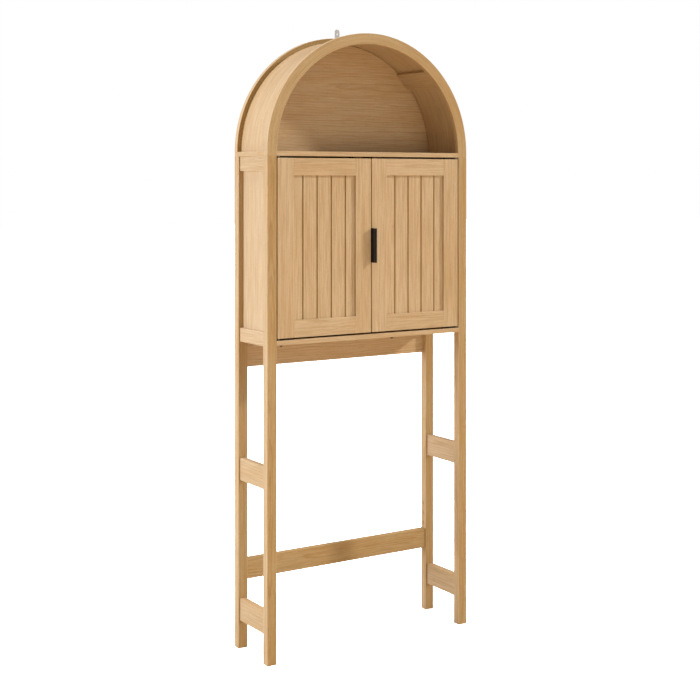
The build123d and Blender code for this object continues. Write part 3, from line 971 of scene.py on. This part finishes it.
@dataclass
class Door(Assembly):
    """A framed door with a beaded panel.

    Attributes:
        side: left or right.
        bead_count: How many grooves cross the panel.
        bead_pitch: Distance between them.
        bead_width: Width of a groove at the face.
        bead_floor: Width of its floor.
        bead_depth: Its depth.
        bead_shade_and_lacquer: How much darker it is: painted shade in the groove, and lacquer that gathers in it.
        bead_ease: Width of the rounding on its edges.
        bead_skin: Depth at which the darker part starts.
    """

    side: str = "left"
    bead_count: int = 4
    bead_pitch: float = mm(44.4)
    bead_width: float = mm(4.2)
    bead_floor: float = mm(2.8)
    bead_depth: float = mm(3.0)
    bead_shade_and_lacquer: float = -2.6
    bead_ease: float = mm(0.35)
    bead_skin: float = mm(0.4)

    def build(self) -> None:
        """Make the stiles, rails and panel."""
        hinge = f"{self.side}_door_hinge_stile"
        free = f"{self.side}_door_free_stile"
        self.board(hinge, Grain(Run.UP_FACING_FRONT, Cut.RIFT))
        self.board(free, Grain(Run.UP_FACING_FRONT, Cut.RIFT))
        edges = sorted((*self._sides(hinge), *self._sides(free)))
        for part in ("top_rail", "bottom_rail"):
            node = f"{self.side}_door_{part}"
            low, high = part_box(node)
            low.x, high.x = edges[1], edges[2]
            shape = blank(low, high)
            ease_edges(shape, self.ease)
            cut = Cut.CROWN if part == "bottom_rail" and self.side == "left" else Cut.SOFT_CROWN
            self.put(shape, node, Grain(Run.WIDE_UPRIGHT, cut))
        self.panel()

    @staticmethod
    def _sides(node: str) -> Pair:
        """The lowest and highest X of a node."""
        low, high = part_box(node)
        return low.x, high.x

    def panel(self) -> Item:
        """Make the panel with its upright grooves."""
        node = f"{self.side}_door_panel"
        low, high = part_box(node)
        middle = (low.x + high.x) / 2.0
        face, floor = low.y, low.y + self.bead_depth
        points = [(low.x, high.y), (low.x, face)]
        for step in range(self.bead_count):
            x = middle + self.bead_pitch * (step - (self.bead_count - 1) / 2.0)
            points += [(x - self.bead_width / 2.0, face), (x - self.bead_floor / 2.0, floor)]
            points += [(x + self.bead_floor / 2.0, floor), (x + self.bead_width / 2.0, face)]
        points += [(high.x, face), (high.x, high.y)]
        shape = from_outline(points, low.z, high.z)
        ease_edges(shape, self.bead_ease, segments=2, sharper_than=40.0)
        piece = self.put(shape, node, Grain(Run.UP_FACING_FRONT, Cut.SOFT_CROWN))
        start = Vector((low.x, face + self.bead_skin, low.z))
        # painted shade in the grooves, together with gathered lacquer
        paint_recess_shade(piece, start, Vector((high.x, floor + mm(0.1), high.z)), self.bead_shade_and_lacquer)
        return piece


@dataclass
class Pull(Assembly):
    """The bent strip on the right door's free edge.

    Attributes:
        sheet: Thickness of the steel.
        lip: Width of the lip in front.
        bend: Outer radius of the bends.
        square_on: A face is marked as an edge, which the powder coat paints with a highlight, when no part of its
            normal reaches this.
    """

    sheet: float = mm(1.5)
    lip: float = mm(8.0)
    bend: float = mm(1.2)
    square_on: float = 0.97

    def build(self) -> None:
        """Fold the strip and round its bends and edges."""
        low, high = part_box("door_pull")
        steel = self.sheet
        lip = low.x + self.lip
        points = (
            (low.x, low.y), (lip, low.y), (lip, low.y + steel), (low.x + steel, low.y + steel),
            (low.x + steel, high.y - steel), (high.x, high.y - steel), (high.x, high.y), (low.x, high.y),
        )
        shape = from_outline(points, low.z, high.z)
        bends = [
            edge
            for edge in shape.edges
            if abs(edge.verts[0].co.z - edge.verts[1].co.z) > steel and edge.verts[0].co.x < low.x + steel / 2.0
        ]
        round_off(shape, bends, self.bend, segments=5)
        ease_edges(shape, self.thin_ease, segments=2)
        # painted highlight: bends and eased edges are flagged for the powder coat's lighter colour
        edge = shape.faces.layers.float.new("edge")
        for face in shape.faces:
            face[edge] = 1.0 if max(abs(value) for value in face.normal) < self.square_on else 0.0
        self.put(shape, "door_pull")


@dataclass
class Niche(Assembly):
    """The arched niche: two rings, the bent skin, the back and two battens.

    Attributes:
        height: Height of the arch's centre.
        ring_width: Width of a ring's face.
        batten_angle: How far each batten is turned up from level, in degrees.
        batten_size: Thickness and width of a batten.
        batten_radius: Distance of a batten's middle from the arch's centre.
        back_chamfer: Width of the chamfer round the back panel.
        chamfer_painted_shade: How much darker the chamfer is painted, as painted shade in the corner between the back
            and the skin.
        skin_thickness: Thickness of the bent skin.
        pocket_slack: Slack round the wall bracket in its pocket.
        pocket_reach: How far the pocket is cut past the bracket's back.
    """

    height: float = mm(1345.0)
    ring_width: float = RING_WIDTH
    batten_angle: float = 43.8
    batten_size: Pair = (mm(9.0), mm(60.0))
    batten_radius: float = mm(302.5)
    back_chamfer: float = mm(1.4)
    chamfer_painted_shade: float = -5.0
    skin_thickness: float = mm(3.5)
    pocket_slack: float = mm(0.1)
    pocket_reach: float = mm(1.0)

    def build(self) -> None:
        """Make every wooden piece of the niche."""
        # painted shade: each ring's front face is darkened, the rear ring's more
        self.ring("front_arch_ring", -1.5)
        self.ring("rear_arch_ring", -3.0)
        self.skin()
        self.back()
        self.batten("left_arch_batten", -1.0)
        self.batten("right_arch_batten", 1.0)

    def ring(self, node: str, front_tone: float) -> Item:
        """Make a flat ring on its two feet.

        Args:
            node: The ring's node.
            front_tone: Added to the tone of its front face, as painted shade.

        Returns:
            The new object.
        """
        low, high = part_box(node)
        inner = Vector((high.x - self.ring_width, low.y, 0.0))
        shape = arch_strip(inner, Vector((high.x, high.y, 0.0)), self.height)
        level = self.height + mm(1.0)
        feet = [face for face in shape.faces if face.normal.z < -0.99 and face.calc_center_median().z < level]
        grown = bmesh.ops.extrude_discrete_faces(shape, faces=feet)["faces"]
        for foot in grown:
            bmesh.ops.translate(shape, verts=list(foot.verts), vec=(0.0, 0.0, low.z - self.height))
        ease_edges(shape, self.ease)
        plate_low, plate_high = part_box("wall_bracket")
        if plate_low.y < high.y and plate_high.y > low.y:
            slack = Vector((self.pocket_slack, 0.0, self.pocket_slack))
            shape = carve(shape, blank(plate_low - slack, plate_high + slack + Vector((0.0, self.pocket_reach, 0.0))))
        grain = ArchGrain(Run.WIDE_UPRIGHT, Cut.RIFT, 0.0, front_tone, radius=inner.x, height=self.height)
        return self.put(shape, node, grain)

    def skin(self) -> Item:
        """Make the bent skin that lies between the rings."""
        low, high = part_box("arch_skin")
        inner = Vector((high.x - self.skin_thickness, low.y, 0.0))
        shape = arch_strip(inner, Vector((high.x, high.y, 0.0)), self.height)
        ease_edges(shape, self.thin_ease, segments=1)
        grain = ArchGrain(Run.WIDE_UPRIGHT, Cut.QUARTER, radius=high.x, height=self.height)
        return self.put(shape, "arch_skin", grain)

    def back(self) -> Item:
        """Make the half-round back panel."""
        low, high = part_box("arch_back")
        shape = bmesh.new()
        upright = Matrix.Translation((0.0, low.y, self.height)) @ Matrix.Rotation(math.radians(90.0), 4, "X")
        bmesh.ops.create_circle(shape, cap_ends=True, segments=256, radius=high.x, matrix=upright)
        middle = (0.0, 0.0, self.height)
        bmesh.ops.bisect_plane(
            shape, geom=whole(shape), plane_co=middle, plane_no=(0.0, 0.0, -1.0), clear_outer=True, dist=1e-6
        )
        thicken(shape, Vector((0.0, high.y - low.y, 0.0)))
        ease_edges(shape, self.back_chamfer, segments=1, sharper_than=80.0)
        piece = self.put(shape, "arch_back", Grain(Run.WIDE_UPRIGHT, Cut.CROWN, tone=-0.5, shift=(0.05, 0.0)))
        tones = piece.data.attributes["tone"].data
        for face in piece.data.polygons:
            # the chamfer leans to the front without facing it squarely
            if -0.99 < face.normal.y < -0.1:
                # painted shade: the chamfer is darkened as the shadow line round the back
                tones[face.index].value += self.chamfer_painted_shade
        return piece

    def batten(self, node: str, side: float) -> Item:
        """Make a batten under the skin at the arch's shoulder.

        Args:
            node: The batten's node.
            side: 1 on the right, -1 on the left.

        Returns:
            The new object.
        """
        low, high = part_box(node)
        thick, wide = self.batten_size
        half = Vector((thick, high.y - low.y, wide)) / 2.0
        shape = blank(-half, half)
        ease_edges(shape, self.ease)
        out = Matrix.Translation((self.batten_radius, 0.0, 0.0))
        turn = Matrix.Rotation(-math.radians(self.batten_angle if side > 0.0 else 180.0 - self.batten_angle), 4, "Y")
        up = Matrix.Translation((0.0, (low.y + high.y) / 2.0, self.height))
        bmesh.ops.transform(shape, matrix=up @ turn @ out, verts=shape.verts[:])
        return self.put(shape, node, Grain(Run.DEEP_UPRIGHT, Cut.SOFT_CROWN))


@dataclass
class Fittings(Assembly):
    """Hinges, catches, screws, cams, pins, dowels and the wall bracket, which keep their shapes."""

    def build(self) -> None:
        """Dress every node that no new piece stands for."""
        self.dress(node for node, item in frame["nodes"].items() if not item.hide_render)


# ---------------- studio
class Reach(Enum):
    """Whether a lamp stands near, and falls off down the rack, or lights it evenly from far away."""

    NEAR = "AREA"
    FAR = "SUN"


@dataclass
class Softbox:
    """A soft lamp.

    Attributes:
        name: The lamp's name.
        reach: Near or far.
        place: Where it stands; far away, only the direction counts.
        strength: Watts of a near lamp, or light of a far one on a surface that faces it.
        size: Width in metres of a near lamp, or apparent width in degrees of a far one.
        colour: Its colour.
    """

    name: str
    reach: Reach
    place: Vector
    strength: float
    size: float
    colour: str = "#FFFFFF"

    def build(self) -> None:
        """Hang the lamp and turn it to the cabinet."""
        data = bpy.data.lights.new(self.name, self.reach.value)
        data.energy = self.strength
        data.color = linear(self.colour)[:3]
        aim = Vector()
        if self.reach is Reach.NEAR:
            data.size = self.size
            aim = Vector((0.0, 0.0, 1.2))
        else:
            data.angle = math.radians(self.size)
        lamp = stand(self.name, data)
        lamp.location = self.place
        lamp.rotation_euler = (self.place - aim).to_track_quat("Z", "Y").to_euler()


@dataclass
class Studio:
    """Floor, surrounding light, lamps and camera.

    Attributes:
        eye: Where the camera stands.
        heading: How far it is turned to the right of straight ahead, in degrees.
        lens_mm: Focal length.
        sensor_mm: Width of the sensor.
        shift: Vertical shift of the picture.
        fill: Strength of the light that comes from all round.
        fill_colour: Its colour.
        lamps: The lamps.
    """

    eye: Vector = field(default_factory=lambda: Vector((-2.0415, -3.1954, 1.2747)))
    heading: float = 32.3677
    lens_mm: float = 69.956
    sensor_mm: float = 36.0
    shift: float = -0.2459
    fill: float = 0.28
    fill_colour: str = "#FFF3E4"
    lamps: Sequence[Softbox] = ()

    def build(self) -> None:
        """Set the stage."""
        self.floor()
        self.surround()
        for lamp in self.lamps:
            lamp.build()
        self.camera()

    def floor(self) -> None:
        """Lay a wide pale floor."""
        shape = bmesh.new()
        bmesh.ops.create_grid(shape, x_segments=1, y_segments=1, size=30.0)
        mesh = to_mesh("studio_floor", shape)
        floor = stand("studio_floor", mesh)
        material, tree = empty_material("matt_white_studio_floor")
        seen = add_node(tree, "ShaderNodeLightPath").outputs["Is Camera Ray"]
        paper = add_node(tree, "ShaderNodeBsdfDiffuse", inputs={"Color": (2.2, 2.3, 2.5, 1.0)})
        bounce = add_node(tree, "ShaderNodeBsdfDiffuse", inputs={"Color": linear("#C0AF96")})
        both = add_node(tree, "ShaderNodeMixShader", inputs={0: seen, 1: bounce.outputs[0], 2: paper.outputs[0]})
        close_material(tree, both)
        mesh.materials.append(material)

    def surround(self) -> None:
        """Fill the room with soft light in front of a white wall."""
        world = bpy.data.worlds.new("white_room")
        world.use_nodes = True
        tree = world.node_tree
        tree.nodes.clear()
        seen = add_node(tree, "ShaderNodeLightPath").outputs["Is Camera Ray"]
        soft = {"Color": linear(self.fill_colour), "Strength": self.fill}
        light = add_node(tree, "ShaderNodeBackground", inputs=soft)
        wall = add_node(tree, "ShaderNodeBackground", inputs={"Color": linear("#FFFFFF"), "Strength": 1.0})
        both = add_node(tree, "ShaderNodeMixShader", inputs={0: seen, 1: light.outputs[0], 2: wall.outputs[0]})
        add_node(tree, "ShaderNodeOutputWorld", inputs={"Surface": both.outputs[0]})
        bpy.context.scene.world = world
        bpy.context.scene.view_settings.view_transform = "Standard"

    def camera(self) -> None:
        """Stand the camera at its viewing point."""
        data = bpy.data.cameras.new("viewing_camera")
        data.sensor_width = self.sensor_mm
        data.lens = self.lens_mm
        data.shift_y = self.shift
        data.dof.use_dof = False
        camera = stand("viewing_camera", data)
        camera.location = self.eye
        camera.rotation_euler = (math.radians(90.0), 0.0, -math.radians(self.heading))
        bpy.context.scene.camera = camera


def build_finishes() -> dict[str, Material]:
    """Build one material for each slot of the record.

    Returns:
        Materials by slot name.
    """
    finishes: dict[str, Finish] = {
        "oak_posts": SatinOak("satin_oak_posts", figure=0.6, streak=0.35),
        "oak_rails": SatinOak("satin_oak_rails", figure=0.4),
        "oak_side_panels": SatinOak("satin_oak_side_panels", figure=0.25, streak=0.4),
        "oak_boards": SatinOak("satin_oak_boards", figure=0.3),
        "oak_back_panels": SatinOak("satin_oak_back_panels", late="#A98056", figure=0.5, streak=0.25, ring_mm=7.0),
        "oak_cross_rails": SatinOak("satin_oak_cross_rails", figure=0.7, streak=0.35),
        "oak_door_frames": SatinOak("satin_oak_door_frames", figure=0.35),
        "oak_door_panels": SatinOak("satin_oak_door_panels", figure=0.35),
        "oak_arch": SatinOak("satin_oak_arch", figure=0.3, streak=0.4),
        "black_pull": PowderCoat(),
        # bright zinc plate: pale grey metal with cloudy handling marks
        "zinc_steel": PlatedMetal("bright_zinc_plated_steel", "#E3E5E9", "#C3C6CB", 0.4),
        # black zinc plate: dark steel that disappears in the door gaps
        "hinge_steel": PlatedMetal("black_zinc_plated_steel", "#3A332C", "#26211C", 0.48),
        # raw die-cast zinc: dull, darker and rougher
        "cast_zinc": PlatedMetal("die_cast_zinc", "#77787C", "#55565A", 0.5, mark_mm=1.5),
        # natural nylon: milky, slightly waxy
        "nylon": Speckled("moulded_natural_nylon", "#E9E7DE", "#D8D5C8", 0.4, ior=1.53),
        # moulded brown plastic: fine spark texture
        "catch_plastic": Speckled("moulded_brown_plastic", "#7A5636", "#6A492C", 0.5),
        # ferrite: near-black, dry and grainy
        "magnet_ferrite": Speckled("pressed_ferrite", "#2A2A2C", "#3A3A3C", 0.6, ior=1.8),
        # beech rod: pinkish wood with short dark flecks
        "beech": Speckled("turned_beech_rod", "#D9B48A", "#BE9467", 0.65, stretch=(6.0, 6.0, 0.8)),
    }
    return {slot: finish.build() for slot, finish in finishes.items()}


def main() -> None:
    """Build the finishes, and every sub-assembly and the studio."""
    logging.basicConfig(level=logging.INFO, format="%(message)s")
    finishes = build_finishes()
    assemblies: list[Any] = [
        LegFrame(finishes, side="left"),
        LegFrame(finishes, side="right"),
        Cabinet(finishes),
        Door(finishes, side="left"),
        Door(finishes, side="right"),
        Pull(finishes),
        Niche(finishes),
        Fittings(finishes),
        Studio(
            lamps=(
                Softbox("right_key", Reach.FAR, Vector((12.0, -6.0, 6.6)), 2.1, 4.0, "#FFF8EE"),
                Softbox("overhead_softbox", Reach.FAR, Vector((-0.1, 0.1, 1.0)), 2.5, 40.0, "#FFF4F0"),
                Softbox("left_softbox", Reach.NEAR, Vector((-4.2, 0.65, 1.4)), 158.0, 1.6, "#E8F0FF"),
                Softbox("front_softbox", Reach.NEAR, Vector((0.3, -2.7, 2.3)), 6.0, 1.5),
                Softbox("low_softbox", Reach.NEAR, Vector((0.0, -2.4, 0.8)), 11.0, 1.0, "#FFF0E2"),
            )
        ),
    ]
    for assembly in assemblies:
        LOG.info("building %s", type(assembly).__name__)
        assembly.build()


if __name__ == "__main__":
    main()
